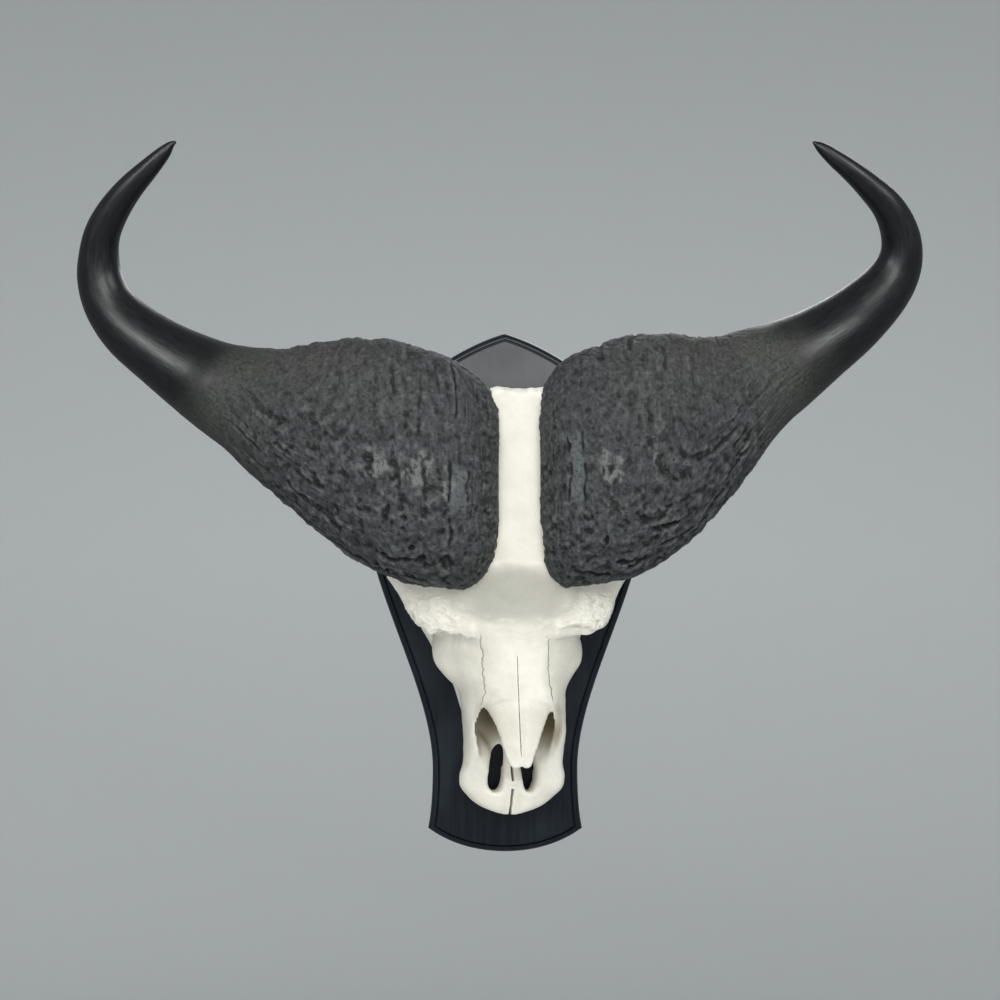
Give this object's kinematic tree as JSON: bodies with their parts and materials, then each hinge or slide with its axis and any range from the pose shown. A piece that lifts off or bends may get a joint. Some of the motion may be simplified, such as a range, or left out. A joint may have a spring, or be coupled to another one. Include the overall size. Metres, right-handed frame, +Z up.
{
  "type": "mounted cape buffalo skull",
  "caption": "Cape buffalo skull with broad rough horn bosses and hooked smooth horn tips, fixed face out on a dark shield-shaped wooden wall plaque.",
  "frame": {"origin": "middle of the plaque's flat back, on the wall", "axes": "+X the viewer's right along the spread of the horns, +Y into the wall, +Z up"},
  "size_m": [0.9626, 0.2674, 0.8179],
  "materials": {
    "painted_wood": "black satin paint over routed wood",
    "bone": "bleached cream-white bone, dry and slightly chalky",
    "horn": "dark horn, rough and dry on the boss, polished towards the tips",
    "steel": "zinc-plated steel"
  },
  "bodies": {
    "root": {"plaque": "painted_wood", "skull": "bone", "horn_left": "horn", "horn_right": "horn", "skull_screw_lower": "steel", "skull_screw_upper": "steel", "hanger_plate": "steel", "hanger_screw_lower": "steel", "hanger_screw_upper": "steel"}
  },
  "joints": []
}
